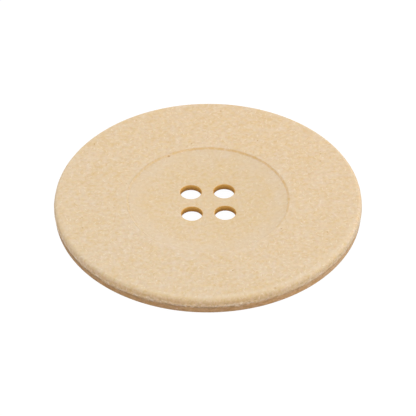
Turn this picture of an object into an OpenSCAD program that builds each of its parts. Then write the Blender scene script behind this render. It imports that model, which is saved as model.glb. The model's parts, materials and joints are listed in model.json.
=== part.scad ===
// Large round sew-through button, moulded in one piece from a natural-fibre composite.
// It lies on its back: +Z is the axis of the button, and z = 0 is the plane of the seat on its back.

/* [Edge] */
// Outside diameter, measured at the parting line around the edge
button_d = 38; // [32:0.5:50]
// Height of the back half of the edge, from the seat up to the parting line
back_half_h = 1.2; // [1:0.05:2.5]
// Height of the face half of the edge, from the parting line up to the face
face_half_h = 0.9; // [0.8:0.05:2.5]
// Mould draft that leans the edge in, above and below the parting line, in degrees
edge_draft = 7; // [0:0.5:10]
// Radius of the rounded shoulder between the edge and the face
shoulder_r = 0.5; // [0.1:0.05:0.7]
// Radius of the small round between the edge and the seat
back_edge_r = 0.2; // [0.05:0.05:0.6]

/* [Sunken centre] */
// Diameter of the sunken centre of the face, at the top of its step
centre_d = 20.1; // [14:0.1:26]
// Height of the step down into the sunken centre
step_h = 0.2; // [0.1:0.05:0.3]
// Width of the slope that makes the step
step_w = 0.25; // [0.05:0.05:0.6]
// How far the floor is dished below the foot of the step
dish_h = 0.35; // [0.1:0.05:0.4]

/* [Back] */
// Width of the flat ring that the button rests on
seat_w = 1.4; // [0.6:0.1:3]
// Width of the sloping side of the hollow, inside the seat
hollow_slope_w = 5; // [1:0.5:8]
// Thickness of the web at the middle of the button, between the dished floor and the hollow
web_t = 0.8; // [0.6:0.05:1]

/* [Sewing holes] */
// Diameter of a sewing hole
hole_d = 2.6; // [1.6:0.1:3]
// Distance between the centres of neighbouring sewing holes
hole_pitch = 4.1; // [3.6:0.1:5.5]
// Depth of the broken edge at each end of a sewing hole
hole_break = 0.1; // [0.05:0.05:0.2]

/* [Hidden] */
$fn = 128;

// Segments in the whole circle that the dished floor is a small part of
floor_fn = 1440;
// How far a cut runs past the surface it opens
cut_over = 0.2;

// The edge: two leaning walls that meet at the parting line, each tangent to its round
button_r = button_d / 2;
rim_t = back_half_h + face_half_h;
shoulder_z = rim_t - shoulder_r;
shoulder_x = button_r - (shoulder_z - back_half_h) * tan(edge_draft) - shoulder_r / cos(edge_draft);
back_edge_x = button_r - (back_half_h - back_edge_r) * tan(edge_draft) - back_edge_r / cos(edge_draft);

// The sunken centre: a sloping step, then a floor that is a spherical cap and starts at its foot
centre_r = centre_d / 2;
foot_r = centre_r - step_w;
foot_z = rim_t - step_h;
middle_z = foot_z - dish_h;
slope_end_r = foot_r - (dish_h + cut_over) * step_w / step_h;
floor_r = (pow(foot_r, 2) + pow(dish_h, 2)) / (2 * dish_h);
floor_centre_z = middle_z + floor_r;

// The hollow back: a sloping side that starts at the inside of the seat, then a flat under the web
hollow_h = middle_z - web_t;
hollow_rim_r = back_edge_x - seat_w;
hollow_flat_r = hollow_rim_r - hollow_slope_w;

// The sewing holes: on the corners of a square around the axis
hole_r = hole_d / 2;
hole_ring_r = hole_pitch / sqrt(2);
hole_top_z = floor_centre_z - sqrt(pow(floor_r, 2) - pow(hole_ring_r, 2));

// Half of the disc's outline, from the axis out to the edge
module disc_section() {
    polygon([
        [0, 0],
        [back_edge_x, 0],
        [back_edge_x + back_edge_r * cos(edge_draft), back_edge_r * (1 - sin(edge_draft))],
        [button_r, back_half_h],
        [shoulder_x + shoulder_r * cos(edge_draft), shoulder_z + shoulder_r * sin(edge_draft)],
        [shoulder_x, rim_t],
        [0, rim_t]
    ]);
    translate([shoulder_x, shoulder_z])
        circle(shoulder_r);
    translate([back_edge_x, back_edge_r])
        circle(back_edge_r);
}

// What the sloping step and the dished floor take out of the face
module sunken_centre_section() {
    intersection() {
        translate([0, floor_centre_z])
            circle(floor_r, $fn = floor_fn);
        polygon([
            [0, middle_z - cut_over],
            [slope_end_r, middle_z - cut_over],
            [centre_r, rim_t],
            [centre_r, rim_t + cut_over],
            [0, rim_t + cut_over]
        ]);
    }
}

// What the hollow takes out of the back
module hollow_section() {
    polygon([
        [0, -cut_over],
        [hollow_rim_r, -cut_over],
        [hollow_rim_r, 0],
        [hollow_flat_r, hollow_h],
        [0, hollow_h]
    ]);
}

// What one sewing hole takes out, with the broken edge at each end
module sewing_hole() {
    flare_h = hole_break + cut_over;
    translate([0, 0, hollow_h - cut_over])
        cylinder(h = flare_h, r1 = hole_r + flare_h, r2 = hole_r);
    cylinder(h = rim_t, r = hole_r);
    translate([0, 0, hole_top_z - hole_break])
        cylinder(h = flare_h, r1 = hole_r, r2 = hole_r + flare_h);
}

module button() {
    color([0.894, 0.796, 0.659])
        difference() {
            rotate_extrude()
                difference() {
                    disc_section();
                    sunken_centre_section();
                    hollow_section();
                }
            for (side_x = [-1, 1], side_y = [-1, 1])
                translate([side_x * hole_pitch / 2, side_y * hole_pitch / 2, 0])
                    sewing_hole();
        }
}

button();
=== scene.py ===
"""Large round sew-through button of pale plant-fibre composite, lying on a plain white studio floor."""
import json
import math
from collections import namedtuple

import bpy
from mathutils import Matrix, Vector


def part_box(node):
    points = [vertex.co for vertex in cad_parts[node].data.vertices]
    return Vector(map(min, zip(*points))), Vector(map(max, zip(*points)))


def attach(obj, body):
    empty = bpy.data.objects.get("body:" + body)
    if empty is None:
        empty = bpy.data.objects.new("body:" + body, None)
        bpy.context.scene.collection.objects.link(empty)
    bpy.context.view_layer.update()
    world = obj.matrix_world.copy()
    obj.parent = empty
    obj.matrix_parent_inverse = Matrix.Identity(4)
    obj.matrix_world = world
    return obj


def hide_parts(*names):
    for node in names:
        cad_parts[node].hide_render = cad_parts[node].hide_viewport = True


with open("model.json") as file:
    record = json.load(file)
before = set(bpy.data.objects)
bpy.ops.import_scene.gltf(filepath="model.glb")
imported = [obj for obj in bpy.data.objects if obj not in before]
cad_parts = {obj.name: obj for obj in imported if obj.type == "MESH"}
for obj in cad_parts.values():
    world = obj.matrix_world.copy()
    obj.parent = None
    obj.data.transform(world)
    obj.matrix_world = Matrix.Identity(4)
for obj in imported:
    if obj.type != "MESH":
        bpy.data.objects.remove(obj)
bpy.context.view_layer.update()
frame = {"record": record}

MM = 0.001

# Sizes of the button, in metres: its radius, thickness and holes come from the frame
_, high_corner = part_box("button")
sewing_holes = [mount for mount in frame["record"]["mounts"] if mount["kind"] == "bore"]
BUTTON_RADIUS = max(high_corner[0], high_corner[1])
RIM_THICKNESS = high_corner[2]
HOLE_RADIUS = sewing_holes[0]["dims"]["r_mm"] * MM
HOLE_PITCH = 2 * abs(sewing_holes[0]["pos_m"][0])
PARTING_HEIGHT = 1.2 * MM
EDGE_DRAFT = math.radians(7)
SHOULDER_RADIUS = 0.5 * MM
BACK_EDGE_RADIUS = 0.2 * MM
CENTRE_RADIUS = 10.05 * MM
STEP_HEIGHT = 0.2 * MM
STEP_WIDTH = 0.25 * MM
DISH_DEPTH = 0.35 * MM
SEAT_WIDTH = 1.4 * MM
HOLLOW_SLOPE_WIDTH = 5.0 * MM
WEB_THICKNESS = 0.8 * MM

# Softness that moulding and tumbling leave on the corners
STEP_ROUND = 0.12 * MM
HOLLOW_ROUND = 1.5 * MM
SEAT_ROUND = 0.25 * MM
HOLE_LIP = 0.1 * MM
LIP_TURN = math.radians(65)

# Roughness of the moulded skin and of the flash along the parting line
RELIEF_HEIGHT = 0.012 * MM
RELIEF_GRAIN = 0.9 * MM
FLASH_HEIGHT = 0.02 * MM
FLASH_WIDTH = 0.2 * MM
FLASH_GRAIN = 0.35 * MM
EDGE_ROUGHNESS = 0.03 * MM
EDGE_DEPTH = 0.6 * MM

# Heights and radii that follow from those sizes
FOOT_RADIUS = CENTRE_RADIUS - STEP_WIDTH
FOOT_HEIGHT = RIM_THICKNESS - STEP_HEIGHT
MIDDLE_HEIGHT = FOOT_HEIGHT - DISH_DEPTH
HOLLOW_HEIGHT = MIDDLE_HEIGHT - WEB_THICKNESS
FLOOR_SPHERE = (FOOT_RADIUS ** 2 + DISH_DEPTH ** 2) / (2 * DISH_DEPTH)

# Fineness of the mesh: the distance between rings on each part of the outline, and the steps of a round
BACK_RINGS = 0.4 * MM
FACE_RINGS = 0.25 * MM
EDGE_RINGS = 0.1 * MM
SHOULDER_RINGS = 0.08 * MM
STEP_RINGS = 0.06 * MM
FLASH_RINGS = 0.04 * MM
ROUND_STEPS = 6
LIP_STEPS = 5
STEPS_AROUND = 480
HOLE_STEPS_AROUND = 72
MERGE_DISTANCE = 1e-7


# Small helpers for building node trees
def add_node(tree, kind, **settings):
    made = tree.nodes.new(kind)
    for name, value in settings.items():
        setattr(made, name, value)
    return made


def feed(tree, socket, value):
    """Links a socket to another, or sets its value."""
    if isinstance(value, bpy.types.NodeSocket):
        tree.links.new(value, socket)
    else:
        socket.default_value = value


def calc(tree, operation, *values):
    made = add_node(tree, "ShaderNodeMath", operation=operation)
    for socket, value in zip(made.inputs, values):
        feed(tree, socket, value)
    return made.outputs[0]


def product(tree, first, *others):
    for other in others:
        first = calc(tree, "MULTIPLY", first, other)
    return first


def away_from(tree, value, middle):
    """How far a value lies from a middle one, to either side."""
    return calc(tree, "ABSOLUTE", calc(tree, "SUBTRACT", value, middle))


def vector_calc(tree, operation, *values):
    made = add_node(tree, "ShaderNodeVectorMath", operation=operation)
    for socket, value in zip(made.inputs, values):
        feed(tree, socket, value)
    gives_number = operation in ("LENGTH", "DOT_PRODUCT")
    return made.outputs["Value" if gives_number else "Vector"]


def scaled(tree, vector, factor):
    made = add_node(tree, "ShaderNodeVectorMath", operation="SCALE")
    feed(tree, made.inputs[0], vector)
    feed(tree, made.inputs["Scale"], factor)
    return made.outputs[0]


def split(tree, vector):
    made = add_node(tree, "ShaderNodeSeparateXYZ")
    feed(tree, made.inputs[0], vector)
    return made.outputs


def combine(tree, x, y, z):
    made = add_node(tree, "ShaderNodeCombineXYZ")
    for socket, value in zip(made.inputs, (x, y, z)):
        feed(tree, socket, value)
    return made.outputs[0]


def ramp(tree, value, start, end, low=0.0, high=1.0, kind="SMOOTHSTEP"):
    """Goes from low to high as value goes from start to end, and stays there beyond them."""
    made = add_node(tree, "ShaderNodeMapRange", interpolation_type=kind)
    names = ("Value", "From Min", "From Max", "To Min", "To Max")
    for name, number in zip(names, (value, start, end, low, high)):
        feed(tree, made.inputs[name], number)
    return made.outputs["Result"]


def fade(tree, value, start, end, high=1.0, low=0.0):
    """Goes from high down to low as value goes from start to end, and stays there beyond them."""
    return ramp(tree, value, start, end, low=high, high=low)


def band(tree, value, start, full, fading, end):
    """Rises from 0 to 1 between start and full, and goes back to 0 between fading and end."""
    return product(tree, ramp(tree, value, start, full), fade(tree, value, fading, end))


def noise(tree, vector, scale, detail=2.0, roughness=0.5):
    made = add_node(tree, "ShaderNodeTexNoise")
    feed(tree, made.inputs["Vector"], vector)
    feed(tree, made.inputs["Scale"], scale)
    made.inputs["Detail"].default_value = detail
    made.inputs["Roughness"].default_value = roughness
    return made.outputs["Fac"]


# Outlines that are turned about the axis
Corner = namedtuple("Corner", "radius height round rings")


def corner_arc(before, corner, after, corner_round):
    """Points of the arc that rounds a corner between its two neighbours."""
    back = (before - corner).normalized()
    ahead = (after - corner).normalized()
    half = back.angle(ahead) / 2
    reach = corner_round / math.tan(half)
    centre = corner + (back + ahead).normalized() * (corner_round / math.sin(half))
    first = corner + back * reach - centre
    last = corner + ahead * reach - centre
    turn = math.pi - 2 * half
    points = []
    for step in range(ROUND_STEPS + 1):
        turned = turn * step / ROUND_STEPS
        spoke = first * math.sin(turn - turned) + last * math.sin(turned)
        points.append(centre + spoke / math.sin(turn))
    return points


def rounded_outline(corners):
    """Points along the straight runs between corners, a ring's distance apart, and along each round."""
    places = [Vector((corner.radius, corner.height)) for corner in corners]
    points = []
    leave = places[0]
    for index in range(1, len(corners)):
        arc = [places[index]]
        if corners[index].round:
            arc = corner_arc(*places[index - 1:index + 2], corners[index].round)
        run = arc[0] - leave
        steps = max(1, round(run.length / corners[index - 1].rings))
        points += [leave + run * (step / steps) for step in range(steps)]
        points += arc[:-1]
        leave = arc[-1]
    return points + [leave]


def dished(point):
    """Lowers a point of the sunken centre to its dished floor."""
    radius, height = point
    inside = height > RIM_THICKNESS / 2 and radius < FOOT_RADIUS
    if not inside:
        return radius, height
    sag = math.sqrt(FLOOR_SPHERE ** 2 - radius ** 2) - math.sqrt(FLOOR_SPHERE ** 2 - FOOT_RADIUS ** 2)
    return radius, height - sag


def button_outline():
    """Half section of the button, from the middle of the back, round the edge, to the middle of the face."""
    lean = math.tan(EDGE_DRAFT)
    back_corner = BUTTON_RADIUS - PARTING_HEIGHT * lean
    face_corner = BUTTON_RADIUS - (RIM_THICKNESS - PARTING_HEIGHT) * lean
    seat_inside = back_corner - BACK_EDGE_RADIUS - SEAT_WIDTH
    flash = 1.5 * FLASH_WIDTH
    corners = [
        Corner(0, HOLLOW_HEIGHT, 0, BACK_RINGS),
        Corner(seat_inside - HOLLOW_SLOPE_WIDTH, HOLLOW_HEIGHT, HOLLOW_ROUND, BACK_RINGS),
        Corner(seat_inside, 0, SEAT_ROUND, FACE_RINGS),
        Corner(back_corner, 0, BACK_EDGE_RADIUS, EDGE_RINGS),
        Corner(BUTTON_RADIUS - flash * lean, PARTING_HEIGHT - flash, 0, FLASH_RINGS),
        Corner(BUTTON_RADIUS, PARTING_HEIGHT, 0, FLASH_RINGS),
        Corner(BUTTON_RADIUS - flash * lean, PARTING_HEIGHT + flash, 0, SHOULDER_RINGS),
        Corner(face_corner, RIM_THICKNESS, SHOULDER_RADIUS, FACE_RINGS),
        Corner(CENTRE_RADIUS, RIM_THICKNESS, STEP_ROUND, STEP_RINGS),
        Corner(FOOT_RADIUS, FOOT_HEIGHT, STEP_ROUND, FACE_RINGS),
        Corner(0, FOOT_HEIGHT, 0, FACE_RINGS),
    ]
    return [dished(point) for point in rounded_outline(corners)]


def hole_outline():
    """Half section of what a sewing hole takes out, flared at both ends into a soft lip."""
    floor_at_hole = FLOOR_SPHERE - math.sqrt(FLOOR_SPHERE ** 2 - HOLE_PITCH ** 2 / 2)
    back_end = HOLLOW_HEIGHT + HOLE_LIP
    face_end = MIDDLE_HEIGHT + floor_at_hole - HOLE_LIP
    flare = 3 * HOLE_LIP
    face_lip = []
    for step in range(LIP_STEPS + 1):
        turned = LIP_TURN * step / LIP_STEPS
        face_lip.append((
            HOLE_RADIUS + HOLE_LIP * (1 - math.cos(turned)),
            face_end + HOLE_LIP * math.sin(turned),
        ))
    lip_radius, lip_height = face_lip[-1]
    face_lip.append((lip_radius + flare * math.sin(LIP_TURN), lip_height + flare * math.cos(LIP_TURN)))
    back_lip = [(radius, back_end + face_end - height) for radius, height in reversed(face_lip)]
    return [(0, back_lip[0][1])] + back_lip + face_lip + [(0, face_lip[-1][1])]


def outline_object(name, outline):
    mesh = bpy.data.meshes.new(name)
    mesh.from_pydata([(radius, 0, height) for radius, height in outline], [], [])
    made = bpy.data.objects.new(name, mesh)
    bpy.context.scene.collection.objects.link(made)
    return made


# Geometry node trees
def new_tree(name, inputs):
    """A geometry tree with these inputs, given as (name, socket type, default), and one geometry output."""
    tree = bpy.data.node_groups.new(name, "GeometryNodeTree")
    for socket_name, socket_type, default in inputs:
        socket = tree.interface.new_socket(socket_name, in_out="INPUT", socket_type=socket_type)
        if default is not None:
            socket.default_value = default
    tree.interface.new_socket("Geometry", in_out="OUTPUT", socket_type="NodeSocketGeometry")
    entry = add_node(tree, "NodeGroupInput")
    leave = add_node(tree, "NodeGroupOutput")
    return tree, entry.outputs, leave.inputs["Geometry"]


def moved(tree, geometry, socket_name, value):
    """Geometry whose points are set to a Position or shifted by an Offset."""
    made = add_node(tree, "GeometryNodeSetPosition")
    feed(tree, made.inputs["Geometry"], geometry)
    feed(tree, made.inputs[socket_name], value)
    return made.outputs[0]


def turning_tree():
    """Turns the points of an outline about the axis into a closed mesh."""
    tree, given, result = new_tree("turn outline", [
        ("Outline", "NodeSocketGeometry", None),
        ("Steps Around", "NodeSocketInt", STEPS_AROUND),
    ])
    count = add_node(tree, "GeometryNodeAttributeDomainSize", component="MESH")
    feed(tree, count.inputs[0], given["Outline"])
    sheet = add_node(tree, "GeometryNodeMeshGrid")
    feed(tree, sheet.inputs["Size X"], 1.0)
    feed(tree, sheet.inputs["Size Y"], 1.0)
    feed(tree, sheet.inputs["Vertices X"], calc(tree, "ADD", given["Steps Around"], 1.0))
    feed(tree, sheet.inputs["Vertices Y"], count.outputs["Point Count"])

    # The sheet is one unit wide and centred, so half a unit more makes its places run from 0 to 1
    across, along, _ = split(tree, add_node(tree, "GeometryNodeInputPosition").outputs[0])
    angle = product(tree, calc(tree, "ADD", across, 0.5), math.tau)
    last_point = calc(tree, "SUBTRACT", count.outputs["Point Count"], 1.0)
    station = product(tree, calc(tree, "ADD", along, 0.5), last_point)
    whole = add_node(tree, "FunctionNodeFloatToInt", rounding_mode="ROUND")
    feed(tree, whole.inputs[0], station)
    point = add_node(tree, "GeometryNodeSampleIndex", data_type="FLOAT_VECTOR", domain="POINT")
    feed(tree, point.inputs["Geometry"], given["Outline"])
    feed(tree, point.inputs["Value"], add_node(tree, "GeometryNodeInputPosition").outputs[0])
    feed(tree, point.inputs["Index"], whole.outputs[0])
    radius, _, height = split(tree, point.outputs["Value"])
    turned_x = product(tree, radius, calc(tree, "COSINE", angle))
    turned_y = product(tree, radius, calc(tree, "SINE", angle))
    turned = moved(tree, sheet.outputs["Mesh"], "Position", combine(tree, turned_x, turned_y, height))
    closed = add_node(tree, "GeometryNodeMergeByDistance")
    feed(tree, closed.inputs["Geometry"], turned)
    feed(tree, closed.inputs["Distance"], MERGE_DISTANCE)
    feed(tree, result, closed.outputs[0])
    return tree


def drilled_disc(tree, given):
    """The turned disc, with one turned cutter taken out on each corner of a square."""
    turning = turning_tree()
    disc = add_node(tree, "GeometryNodeGroup", node_tree=turning)
    feed(tree, disc.inputs["Outline"], given["Outline"])
    feed(tree, disc.inputs["Steps Around"], given["Steps Around"])
    hole_source = add_node(tree, "GeometryNodeObjectInfo")
    feed(tree, hole_source.inputs["Object"], given["Hole Outline"])
    cutter = add_node(tree, "GeometryNodeGroup", node_tree=turning)
    feed(tree, cutter.inputs["Outline"], hole_source.outputs["Geometry"])
    feed(tree, cutter.inputs["Steps Around"], given["Hole Steps"])
    square = add_node(tree, "GeometryNodeMeshGrid")
    for side in ("X", "Y"):
        feed(tree, square.inputs["Size " + side], given["Hole Pitch"])
        feed(tree, square.inputs["Vertices " + side], 2)
    cutters = add_node(tree, "GeometryNodeInstanceOnPoints")
    feed(tree, cutters.inputs["Points"], square.outputs["Mesh"])
    feed(tree, cutters.inputs["Instance"], cutter.outputs[0])
    loose = add_node(tree, "GeometryNodeRealizeInstances")
    feed(tree, loose.inputs[0], cutters.outputs[0])
    drilled = add_node(tree, "GeometryNodeMeshBoolean", operation="DIFFERENCE", solver="MANIFOLD")
    feed(tree, drilled.inputs["Mesh 1"], disc.outputs[0])
    feed(tree, drilled.inputs["Mesh 2"], loose.outputs[0])
    return drilled.outputs["Mesh"]


def uneven_skin(tree, given, body, seeded):
    """Sinks the skin a little, unevenly, all over."""
    fineness = calc(tree, "DIVIDE", 1.0, given["Relief Grain"])
    grain = noise(tree, seeded, fineness, detail=3.0, roughness=0.6)
    normal = add_node(tree, "GeometryNodeInputNormal").outputs[0]
    sink = product(tree, grain, given["Relief Height"], -1.0)
    return moved(tree, body, "Offset", scaled(tree, normal, sink))


def ragged_edge(tree, given, body, position, seeded):
    """Sinks the edge back from the flash, which stays as a ragged thread along the parting line."""
    x, y, z = split(tree, position)
    around = combine(tree, x, y, 0.0)
    inwards = calc(tree, "SUBTRACT", given["Edge Radius"], vector_calc(tree, "LENGTH", around))
    off_line = away_from(tree, z, given["Parting Height"])
    fineness = calc(tree, "DIVIDE", 1.0, given["Flash Grain"])
    ragged = noise(tree, seeded, fineness, detail=3.0, roughness=0.7)
    to_the_right = calc(tree, "DIVIDE", x, given["Edge Radius"])
    left_on = fade(tree, to_the_right, start=0.1, end=0.6)
    along_line = fade(tree, calc(tree, "DIVIDE", off_line, given["Flash Width"]), start=0.25, end=1.0)
    thread = product(tree, along_line, ramp(tree, ragged, start=0.35, end=0.65), left_on)
    no_thread = calc(tree, "SUBTRACT", 1.0, thread)
    on_edge = fade(tree, inwards, start=EDGE_DEPTH / 3, end=EDGE_DEPTH)
    bare = product(tree, given["Flash Height"], no_thread)
    pits = product(tree, ragged, given["Edge Roughness"], no_thread)
    sink = product(tree, calc(tree, "ADD", bare, pits), on_edge, -1.0)
    return moved(tree, body, "Offset", scaled(tree, vector_calc(tree, "NORMALIZE", around), sink))


def with_steepness(tree, body):
    """Keeps how steep the surface stands, for the material: 0 on flats, 1 on upright walls."""
    _, _, normal_z = split(tree, add_node(tree, "GeometryNodeInputNormal").outputs[0])
    marked = add_node(tree, "GeometryNodeStoreNamedAttribute", data_type="FLOAT", domain="POINT")
    feed(tree, marked.inputs["Geometry"], body)
    feed(tree, marked.inputs["Name"], "steepness")
    feed(tree, marked.inputs["Value"], calc(tree, "SUBTRACT", 1.0, calc(tree, "ABSOLUTE", normal_z)))
    return marked.outputs[0]


def button_tree():
    """Turns the button, drills its sewing holes and roughens its skin and its parting line."""
    tree, given, result = new_tree("moulded button", [
        ("Outline", "NodeSocketGeometry", None),
        ("Hole Outline", "NodeSocketObject", None),
        ("Steps Around", "NodeSocketInt", STEPS_AROUND),
        ("Hole Steps", "NodeSocketInt", HOLE_STEPS_AROUND),
        ("Hole Pitch", "NodeSocketFloat", HOLE_PITCH),
        ("Relief Height", "NodeSocketFloat", RELIEF_HEIGHT),
        ("Relief Grain", "NodeSocketFloat", RELIEF_GRAIN),
        ("Parting Height", "NodeSocketFloat", PARTING_HEIGHT),
        ("Edge Radius", "NodeSocketFloat", BUTTON_RADIUS),
        ("Flash Height", "NodeSocketFloat", FLASH_HEIGHT),
        ("Flash Width", "NodeSocketFloat", FLASH_WIDTH),
        ("Flash Grain", "NodeSocketFloat", FLASH_GRAIN),
        ("Edge Roughness", "NodeSocketFloat", EDGE_ROUGHNESS),
        ("Seed", "NodeSocketFloat", 7.0),
        ("Material", "NodeSocketMaterial", None),
    ])
    position = add_node(tree, "GeometryNodeInputPosition").outputs[0]
    seed_shift = combine(tree, given["Seed"], given["Seed"], given["Seed"])
    seeded = vector_calc(tree, "ADD", position, seed_shift)
    body = drilled_disc(tree, given)
    body = uneven_skin(tree, given, body, seeded)
    body = ragged_edge(tree, given, body, position, seeded)
    body = with_steepness(tree, body)
    smooth = add_node(tree, "GeometryNodeSetShadeSmooth")
    feed(tree, smooth.inputs["Geometry"], body)
    whole = add_node(tree, "GeometryNodeRealizeInstances")
    feed(tree, whole.inputs[0], smooth.outputs[0])
    finish = add_node(tree, "GeometryNodeSetMaterial")
    feed(tree, finish.inputs["Geometry"], whole.outputs[0])
    feed(tree, finish.inputs["Material"], given["Material"])
    feed(tree, result, finish.outputs[0])
    return tree


def set_inputs(modifier, values):
    for item in modifier.node_group.interface.items_tree:
        if item.item_type == "SOCKET" and item.in_out == "INPUT" and item.name in values:
            modifier[item.identifier] = values[item.name]


def make_button(material):
    source = outline_object("button_outline", button_outline())
    hole_source = outline_object("hole_outline", hole_outline())
    modifier = source.modifiers.new("mould", "NODES")
    modifier.node_group = button_tree()
    set_inputs(modifier, {"Hole Outline": hole_source, "Material": material})
    evaluated = source.evaluated_get(bpy.context.evaluated_depsgraph_get())
    mesh = bpy.data.meshes.new_from_object(evaluated)
    mesh.name = "moulded_button"
    source.modifiers.remove(modifier)
    for spent in (source, hole_source):
        bpy.data.objects.remove(spent)
    made = bpy.data.objects.new("moulded_button", mesh)
    bpy.context.scene.collection.objects.link(made)
    return made


# Helpers for materials: places and sizes in them are in millimetres
Spot = namedtuple("Spot", (
    "place", "lying", "x", "y", "z", "from_axis", "inwards", "sideways",
    "aged_side", "worn_side", "above_line", "upper", "steep",
))
Fleck = namedtuple("Fleck", "name colour strength per_mm share length width")
LargeSpeck = namedtuple("LargeSpeck", "place size strength")

# Places of the colour sockets on a mix node, where several sockets share a name
MIX_FACTOR, MIX_FIRST, MIX_SECOND, MIX_RESULT = 0, 6, 7, 2


def opaque(colour):
    """Red, green and blue get an alpha; a socket stays as it is."""
    return (*colour, 1.0) if isinstance(colour, tuple) else colour


def mixed(tree, factor, first, second, blend="MIX"):
    made = add_node(tree, "ShaderNodeMix", data_type="RGBA", blend_type=blend)
    feed(tree, made.inputs[MIX_FACTOR], factor)
    feed(tree, made.inputs[MIX_FIRST], opaque(first))
    feed(tree, made.inputs[MIX_SECOND], opaque(second))
    return made.outputs[MIX_RESULT]


def coated(tree, factor, skin, colour):
    """A colour laid over the skin."""
    return mixed(tree, factor, skin, colour)


def tinted(tree, factor, skin, colour):
    """The skin seen through a colour."""
    return mixed(tree, factor, skin, colour, blend="MULTIPLY")


def patches(tree, vector, per_mm, clear, full, low=0.0, high=1.0, kind="SMOOTHSTEP", **texture):
    """Uneven patches of about 1 / per_mm mm: low where the noise is under clear, high past full."""
    return ramp(tree, noise(tree, vector, per_mm, **texture), clear, full, low, high, kind)


def sway(tree, vector, per_mm, reach, detail, roughness=0.5):
    """Wanders to both sides of zero by up to half of reach, over about 1 / per_mm mm."""
    middle = 0.5
    swing = calc(tree, "SUBTRACT", noise(tree, vector, per_mm, detail, roughness), middle)
    return product(tree, swing, reach)


def flecks(tree, vector, fleck):
    """Short fibres, one lying at random in some of the cells: 1 on a fibre, 0 off it."""
    cell = add_node(tree, "ShaderNodeTexVoronoi", label=fleck.name, voronoi_dimensions="3D", feature="F1")
    feed(tree, cell.inputs["Vector"], vector)
    cell.inputs["Scale"].default_value = fleck.per_mm
    chance, turn, _ = split(tree, cell.outputs["Color"])
    x, y, z = split(tree, vector_calc(tree, "SUBTRACT", vector, cell.outputs["Position"]))
    angle = product(tree, turn, math.pi)
    cosine = calc(tree, "COSINE", angle)
    sine = calc(tree, "SINE", angle)
    along = calc(tree, "ADD", product(tree, x, cosine), product(tree, y, sine))
    across = calc(tree, "SUBTRACT", product(tree, y, cosine), product(tree, x, sine))
    reach = vector_calc(tree, "LENGTH", combine(
        tree,
        calc(tree, "DIVIDE", along, fleck.length),
        calc(tree, "DIVIDE", across, fleck.width),
        calc(tree, "DIVIDE", z, fleck.length),
    ))
    return product(tree, fade(tree, reach, start=0.4, end=1.0), calc(tree, "LESS_THAN", chance, fleck.share))


def new_material(name):
    material = bpy.data.materials.new(name)
    material.use_nodes = True
    material.node_tree.nodes.clear()
    return material, material.node_tree


# The material of the button, layer by layer
FLECKS = (
    Fleck("pale fibres", (0.9, 0.78, 0.61), strength=0.5, per_mm=1.7, share=0.55, length=0.34, width=0.07),
    Fleck("ochre fibres", (0.64, 0.42, 0.18), strength=0.45, per_mm=1.2, share=0.6, length=0.42, width=0.07),
    Fleck("bright specks", (0.9, 0.8, 0.68), strength=0.6, per_mm=0.7, share=0.3, length=0.16, width=0.12),
    Fleck("russet specks", (0.62, 0.36, 0.15), strength=0.45, per_mm=0.8, share=0.4, length=0.16, width=0.12),
    Fleck("brown specks", (0.48, 0.245, 0.065), strength=0.7, per_mm=0.5, share=0.5, length=0.16, width=0.11),
)
LARGE_SPECKS = (
    LargeSpeck((-4.58, 8.66, 1.9), size=0.24, strength=0.85),
    LargeSpeck((14.2, 6.8, 2.1), size=0.2, strength=0.5),
    LargeSpeck((7.55, -16.9, 2.08), size=0.24, strength=0.5),
)


def button_spot(tree):
    """What the layers need to know of a spot on the button: where it lies and how steep it stands."""
    # Direction towards the back right: the painted shade on the step and the warmer skin tint grow along it
    back_right_direction = (0.6, 0.8, 0.0)
    flattened = (1.0, 1.0, 3.0)
    line_drop, right_rise = 0.05, 0.08
    place = scaled(tree, add_node(tree, "ShaderNodeTexCoord").outputs["Object"], 1 / MM)
    x, y, z = split(tree, place)
    from_axis = vector_calc(tree, "LENGTH", combine(tree, x, y, 0.0))
    # The right side, where the lamps fall: the painted shade on the edge is lighter there
    worn_side = ramp(tree, x, start=2.0, end=13.0)

    # The line along the edge, below which the painted shade is darker, wanders, and runs a little higher on
    # the right side
    line_height = calc(tree, "ADD", PARTING_HEIGHT / MM - line_drop, product(tree, worn_side, right_rise))
    wander = sway(tree, place, per_mm=1.3, reach=0.8, detail=4.0, roughness=0.7)
    above_line = calc(tree, "SUBTRACT", calc(tree, "SUBTRACT", z, line_height), wander)
    return Spot(
        place=place,
        lying=vector_calc(tree, "MULTIPLY", place, flattened),
        x=x,
        y=y,
        z=z,
        from_axis=from_axis,
        inwards=calc(tree, "SUBTRACT", BUTTON_RADIUS / MM, from_axis),
        sideways=calc(tree, "ABSOLUTE", x),
        aged_side=vector_calc(tree, "DOT_PRODUCT", place, back_right_direction),
        worn_side=worn_side,
        above_line=above_line,
        upper=calc(tree, "GREATER_THAN", z, PARTING_HEIGHT / MM),
        steep=add_node(tree, "ShaderNodeAttribute", attribute_name="steepness").outputs["Fac"],
    )


def grained_skin(tree, spot, grain):
    """Grain between tan and cream, in patches that are warmer, cloudier, rosier or greener."""
    tan, cream = (0.696, 0.526, 0.346), (0.81, 0.668, 0.522)
    warm, cloudy = (1.0, 0.94, 0.74), (0.996, 0.968, 0.88)
    rosy, greenish = (1.0, 0.955, 0.99), (0.965, 1.0, 0.97)
    far_aside = (40.0, 0.0, 0.0)
    elsewhere = vector_calc(tree, "ADD", spot.place, far_aside)
    warmth = patches(
        tree, spot.place, per_mm=1.4, clear=0.3, full=0.7, detail=4.0, roughness=0.6, kind="LINEAR",
    )
    clouds = patches(tree, spot.place, per_mm=0.32, clear=0.3, full=0.7, roughness=0.55, kind="LINEAR")
    hue = patches(tree, elsewhere, per_mm=2.8, clear=0.25, full=0.75, roughness=0.6, kind="LINEAR")
    skin = mixed(tree, ramp(tree, grain, start=0.2, end=0.8, kind="LINEAR"), tan, cream)
    skin = tinted(tree, warmth, skin, warm)
    skin = tinted(tree, clouds, skin, cloudy)
    return tinted(tree, 1.0, skin, mixed(tree, hue, rosy, greenish))


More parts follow.
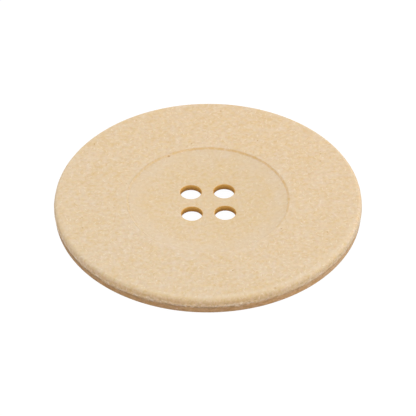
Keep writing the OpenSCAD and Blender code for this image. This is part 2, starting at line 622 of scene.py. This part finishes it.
def flecked_skin(tree, spot, skin):
    """Short fibres and specks at random, then the few larger specks."""
    large_speck_brown = (0.5, 0.25, 0.06)
    dark_core = 0.3
    for fleck in FLECKS:
        lying_here = flecks(tree, spot.place, fleck)
        skin = coated(tree, product(tree, lying_here, fleck.strength), skin, fleck.colour)
    for speck in LARGE_SPECKS:
        away = vector_calc(tree, "LENGTH", vector_calc(tree, "SUBTRACT", spot.place, speck.place))
        darkness = fade(tree, away, start=speck.size * dark_core, end=speck.size, high=speck.strength)
        skin = coated(tree, darkness, skin, large_speck_brown)
    return skin


def side_tinted_skin(tree, spot, skin):
    """Outside the middle, the skin is a little warmer towards the back right and a little bluer towards the
    front left.
    """
    front_left_tint, back_right_tint = (0.998, 1.01, 1.03), (1.014, 0.995, 0.97)
    side_tint = mixed(tree, ramp(tree, spot.aged_side, start=-14.0, end=16.0, kind="LINEAR"), front_left_tint, back_right_tint)
    return tinted(tree, ramp(tree, spot.from_axis, start=6.0, end=11.0), skin, side_tint)


def pressed_centre(tree, spot, skin):
    """The sunken centre is pressed smoother, so its grain is fainter, and it is paler beside the step."""
    pressed_tan, pressed_pale = (0.715, 0.52, 0.27), (0.762, 0.645, 0.52)
    foot = FOOT_RADIUS / MM
    soft_edge = 0.3
    pale_ring = foot - 0.5
    in_centre = fade(tree, spot.from_axis, start=foot - soft_edge, end=foot, high=0.2)
    beside_step = fade(tree, away_from(tree, spot.from_axis, pale_ring), start=0.3, end=2.0, high=0.2)
    skin = coated(tree, product(tree, in_centre, spot.upper), skin, pressed_tan)
    return coated(tree, product(tree, beside_step, spot.upper), skin, pressed_pale)


def shaded_step(tree, spot, skin):
    """Painted shade along the step: an ochre tint darkens its slope towards the back right, and a greyer tint
    darkens it on the left.
    """
    step_shade_ochre, left_step_shade = (0.976, 0.864, 0.645), (0.885, 0.86, 0.78)
    step_middle = (CENTRE_RADIUS - STEP_WIDTH / 2) / MM
    uneven = sway(tree, spot.place, per_mm=1.1, reach=0.22, detail=3.0)
    off_step = away_from(tree, calc(tree, "ADD", spot.from_axis, uneven), step_middle)
    on_step = fade(tree, off_step, start=0.04, end=0.19)
    aged_side = ramp(tree, spot.aged_side, start=-5.0, end=9.5)
    patchy = patches(tree, spot.place, per_mm=1.2, clear=0.35, full=0.65, low=0.6)
    # Painted shade: ochre tint on the step's slope, towards the back right
    skin = tinted(tree, product(tree, on_step, aged_side, spot.upper, patchy), skin, step_shade_ochre)
    near_step = fade(tree, off_step, start=0.08, end=0.28)
    left_side = ramp(tree, spot.x, start=-3.0, end=-9.0)
    # Painted shade: a darker tint beside the step on the left
    return tinted(tree, product(tree, near_step, left_side, spot.upper), skin, left_step_shade)


def rim_painted_light(tree, spot, skin):
    """Painted light on the rim: a painted highlight inside the shoulder at the front right, painted light in
    lighter ochre on the shaded left shoulder, and a deeper tint in the very front.
    """
    rim_highlight_pale, painted_fill_ochre, deep_ochre = (0.86, 0.73, 0.56), (0.91, 0.71, 0.43), (0.995, 0.97, 0.915)
    inside_shoulder = band(tree, spot.inwards, start=0.2, full=0.6, fading=0.7, end=1.2)
    front_right = product(
        tree,
        ramp(tree, spot.x, start=-12.0, end=0.0),
        ramp(tree, spot.y, start=-2.0, end=-8.0, high=0.2),
    )
    # Painted highlight: a paler band inside the shoulder at the front right
    skin = coated(tree, product(tree, inside_shoulder, spot.upper, front_right), skin, rim_highlight_pale)
    on_shoulder = band(tree, spot.inwards, start=0.0, full=0.2, fading=0.4, end=0.65)
    left_side = fade(tree, spot.x, start=-10.0, end=12.0, high=0.18)
    # Painted light: lighter ochre on the left shoulder, which faces away from the lamps
    skin = coated(tree, product(tree, on_shoulder, spot.upper, left_side), skin, painted_fill_ochre)
    whole_shoulder = band(tree, spot.inwards, start=0.02, full=0.15, fading=0.4, end=0.7)
    in_front = product(
        tree,
        ramp(tree, spot.y, start=-8.0, end=-15.0),
        fade(tree, spot.sideways, start=4.0, end=13.0),
    )
    return tinted(tree, product(tree, whole_shoulder, spot.upper, in_front), skin, deep_ochre)


def shaded_stained_edge(tree, spot, skin):
    """Painted shade: the edge is tinted ochre where it stands steep, darkest below its line and lighter on
    the right, where the lamps fall; painted sheen pales it at the far left and right. It is also mottled and
    stained.
    """
    above_left, above_right = (1.0, 0.91, 0.82), (1.0, 0.97, 0.95)
    below_left, below_right = (0.85, 0.66, 0.51), (0.97, 0.77, 0.6)
    mottle_deep, mottle_pale = (0.95, 0.93, 0.8), (1.05, 1.07, 1.2)
    side_sheen_pale, stain_brown = (1.02, 1.08, 1.18), (0.8, 0.73, 0.66)
    frayed = sway(tree, spot.place, per_mm=1.9, reach=0.6, detail=3.0, roughness=0.65)
    # Painted shade on the steep edge, heavier below the line and lighter on the right
    edge = ramp(tree, calc(tree, "ADD", spot.steep, frayed), start=0.1, end=0.9)
    below = fade(tree, spot.above_line, start=-0.3, end=0.1)
    ochre_below = product(tree, below, fade(tree, spot.x, start=4.0, end=17.0, low=0.7))
    above_tint = mixed(tree, spot.worn_side, above_left, above_right)
    below_tint = mixed(tree, spot.worn_side, below_left, below_right)
    skin = tinted(tree, edge, skin, mixed(tree, ochre_below, above_tint, below_tint))
    # Painted sheen: the edge is paler at the far left and right, where it is seen edge-on
    at_the_sides = ramp(tree, spot.sideways, start=13.5, end=17.5)
    skin = tinted(tree, product(tree, edge, at_the_sides), skin, side_sheen_pale)
    mottle = patches(tree, spot.place, per_mm=3.2, clear=0.3, full=0.7, roughness=0.6, kind="LINEAR")
    mottled = mixed(tree, mottle, mottle_deep, mottle_pale)
    skin = tinted(tree, ramp(tree, spot.steep, start=0.02, end=0.3), skin, mottled)
    stains = patches(tree, spot.lying, per_mm=1.1, clear=0.42, full=0.66, detail=4.0, roughness=0.7)
    stains_above = fade(tree, spot.worn_side, start=0.0, end=1.0, high=0.5)
    stain_strength = ramp(tree, below, start=0.0, end=1.0, low=stains_above)
    return tinted(tree, product(tree, edge, stains, stain_strength), skin, stain_brown)


def shaded_hole_walls(tree, spot, skin):
    """Painted shade in the sewing holes: their walls are tinted deep ochre, darkest at the bottom, with brown
    streaks.
    """
    deep_ochre, ochre, streak_brown = (0.6, 0.285, 0.062), (0.8, 0.45, 0.1), (0.5, 0.24, 0.06)
    half_pitch = HOLE_PITCH / 2 / MM
    hole_edge = HOLE_RADIUS / MM
    tinted_lip = 0.12
    from_hole = vector_calc(tree, "LENGTH", combine(
        tree,
        calc(tree, "SUBTRACT", spot.sideways, half_pitch),
        calc(tree, "SUBTRACT", calc(tree, "ABSOLUTE", spot.y), half_pitch),
        0.0,
    ))
    in_hole = fade(tree, from_hole, start=hole_edge, end=hole_edge + tinted_lip)
    # Painted shade: darker towards the bottom of each hole
    wall = mixed(tree, ramp(tree, spot.z, HOLLOW_HEIGHT / MM, MIDDLE_HEIGHT / MM), deep_ochre, ochre)
    streaks = patches(tree, spot.place, per_mm=3.0, clear=0.3, full=0.7, high=0.35)
    return coated(tree, in_hole, skin, mixed(tree, streaks, wall, streak_brown))


def frayed_parting_line(tree, spot, skin):
    """The parting line has pale broken fibres on it, a broken dark brown thread just below it and bruises
    beside it.
    """
    fibre_pale, thread_brown, bruise_brown = (0.9, 0.755, 0.6), (0.38, 0.25, 0.14), (0.42, 0.27, 0.14)
    groove_height = -0.26
    on_edge = calc(tree, "GREATER_THAN", spot.from_axis, (BUTTON_RADIUS - EDGE_DEPTH) / MM)
    off_line = calc(tree, "ABSOLUTE", spot.above_line)
    half_width = patches(tree, spot.place, per_mm=0.5, clear=0.35, full=0.65, low=0.16, high=0.44)
    on_line = fade(tree, calc(tree, "DIVIDE", off_line, half_width), start=0.2, end=1.0)
    broken = patches(tree, spot.place, per_mm=1.8, clear=0.44, full=0.6, detail=4.0, roughness=0.75)
    paleness = fade(tree, spot.worn_side, start=0.0, end=0.6, high=0.72, low=0.2)
    skin = coated(tree, product(tree, on_line, broken, on_edge, paleness), skin, fibre_pale)
    in_groove = fade(tree, away_from(tree, spot.above_line, groove_height), start=0.04, end=0.17)
    thread_patches = patches(tree, spot.place, per_mm=1.3, clear=0.44, full=0.57, high=0.7, detail=3.0, roughness=0.65)
    thread_strength = fade(tree, spot.worn_side, start=0.0, end=1.0, low=0.5)
    skin = coated(tree, product(tree, in_groove, thread_patches, thread_strength, on_edge), skin, thread_brown)
    beside_line = fade(tree, off_line, start=0.25, end=0.6)
    bruises = patches(
        tree, spot.lying, per_mm=1.5, clear=0.56, full=0.66, high=0.7, detail=3.0, roughness=0.7,
    )
    return coated(tree, product(tree, beside_line, bruises, on_edge), skin, bruise_brown)


def fibre_composite():
    """Pressed plant fibres in a pale binder: fine grain, short fibres, rare brown specks, with painted light
    and shade on the step, rim, edge and hole walls.
    """
    material, tree = new_material("fibre_composite")
    spot = button_spot(tree)
    grain = noise(tree, spot.place, scale=2.6, detail=2.5, roughness=0.6)
    skin = grained_skin(tree, spot, grain)
    skin = flecked_skin(tree, spot, skin)
    skin = side_tinted_skin(tree, spot, skin)
    skin = pressed_centre(tree, spot, skin)
    skin = shaded_step(tree, spot, skin)
    skin = rim_painted_light(tree, spot, skin)
    skin = shaded_stained_edge(tree, spot, skin)
    skin = shaded_hole_walls(tree, spot, skin)
    skin = frayed_parting_line(tree, spot, skin)
    shader = add_node(tree, "ShaderNodeBsdfPrincipled")
    feed(tree, shader.inputs["Base Color"], skin)
    feed(tree, shader.inputs["Roughness"], fade(tree, grain, start=0.2, end=0.8, high=0.78, low=0.6))
    shader.inputs["Specular IOR Level"].default_value = 0.5
    bump = add_node(tree, "ShaderNodeBump")
    bump.inputs["Strength"].default_value = 0.25
    bump.inputs["Distance"].default_value = 0.02 * MM
    feed(tree, bump.inputs["Height"], noise(tree, spot.place, scale=5.0, roughness=0.6))
    feed(tree, shader.inputs["Normal"], bump.outputs[0])
    output = add_node(tree, "ShaderNodeOutputMaterial")
    feed(tree, output.inputs["Surface"], shader.outputs[0])
    return material


def studio_floor():
    """A white floor: the camera sees it glow, with a faint shadow, and the button gets grey light from it."""
    light_grey, shadow_grey, white = (0.3, 0.3, 0.3), (0.06, 0.06, 0.06), 0.985
    material, tree = new_material("studio_floor")
    matt = add_node(tree, "ShaderNodeBsdfDiffuse")
    matt.inputs["Color"].default_value = opaque(light_grey)
    seen = add_node(tree, "ShaderNodeBsdfDiffuse")
    seen.inputs["Color"].default_value = opaque(shadow_grey)
    glow = add_node(tree, "ShaderNodeEmission")
    glow.inputs["Strength"].default_value = white
    bright = add_node(tree, "ShaderNodeAddShader")
    feed(tree, bright.inputs[0], seen.outputs[0])
    feed(tree, bright.inputs[1], glow.outputs[0])
    choice = add_node(tree, "ShaderNodeMixShader")
    feed(tree, choice.inputs[0], add_node(tree, "ShaderNodeLightPath").outputs["Is Camera Ray"])
    feed(tree, choice.inputs[1], matt.outputs[0])
    feed(tree, choice.inputs[2], bright.outputs[0])
    output = add_node(tree, "ShaderNodeOutputMaterial")
    feed(tree, output.inputs["Surface"], choice.outputs[0])
    return material


# Stage
def make_floor():
    half = 0.6
    corners = [(-half, -half, 0), (half, -half, 0), (half, half, 0), (-half, half, 0)]
    mesh = bpy.data.meshes.new("floor")
    mesh.from_pydata(corners, [], [(0, 1, 2, 3)])
    mesh.materials.append(studio_floor())
    made = bpy.data.objects.new("floor", mesh)
    bpy.context.scene.collection.objects.link(made)


def direction(azimuth, elevation):
    """Unit vector from the button towards a place at that azimuth and elevation, in degrees."""
    around, up = math.radians(azimuth), math.radians(elevation)
    return Vector((math.sin(around) * math.cos(up), -math.cos(around) * math.cos(up), math.sin(up)))


def aim(thing, target):
    thing.rotation_euler = (thing.location - target).to_track_quat("Z", "Y").to_euler()


def make_camera():
    """The photograph's view: a long lens from the front, looking down on the button."""
    azimuth, elevation, roll = -1.75, 40.28, -0.29
    distance = 34 * BUTTON_RADIUS
    target = Vector((-0.007 * MM, 0, 0.664 * MM))
    frame_width = 416
    radius_in_frame = 154.1
    lens = bpy.data.cameras.new("camera")
    lens.sensor_width = 36
    lens.lens = lens.sensor_width * radius_in_frame * distance / BUTTON_RADIUS / frame_width
    lens.clip_start = 0.01
    made = bpy.data.objects.new("camera", lens)
    made.location = target + direction(azimuth, elevation) * distance
    aim(made, target)
    made.rotation_euler.rotate_axis("Z", math.radians(roll))
    bpy.context.scene.collection.objects.link(made)
    bpy.context.scene.camera = made


def make_softbox(name, azimuth, elevation, power):
    distance, size = 1.2, 0.9
    lamp = bpy.data.lights.new(name, "AREA")
    lamp.shape = "SQUARE"
    lamp.size = size
    lamp.energy = power
    made = bpy.data.objects.new(name, lamp)
    made.location = direction(azimuth, elevation) * distance
    aim(made, Vector((0, 0, 0)))
    bpy.context.scene.collection.objects.link(made)


def make_light():
    """A white room, brighter at the horizon than overhead, with one softbox behind and one at the side."""
    horizon_strength, overhead_strength = 1.6, 0.475
    white = (1.0, 1.0, 1.0)
    world = bpy.data.worlds.new("studio")
    world.use_nodes = True
    tree = world.node_tree
    _, _, height = split(tree, add_node(tree, "ShaderNodeTexCoord").outputs["Generated"])
    upward = calc(tree, "ABSOLUTE", height)
    strength = ramp(tree, upward, 0.0, 1.0, horizon_strength, overhead_strength, kind="LINEAR")
    background = tree.nodes["Background"]
    feed(tree, background.inputs["Color"], opaque(white))
    feed(tree, background.inputs["Strength"], strength)
    bpy.context.scene.world = world
    make_softbox("key_softbox", azimuth=135, elevation=42, power=3.9)
    make_softbox("side_softbox", azimuth=75, elevation=6, power=3.4)
    bpy.context.scene.view_settings.view_transform = "Standard"


make_camera()
make_floor()
make_light()
button = make_button(fibre_composite())
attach(button, "root")
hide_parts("button")
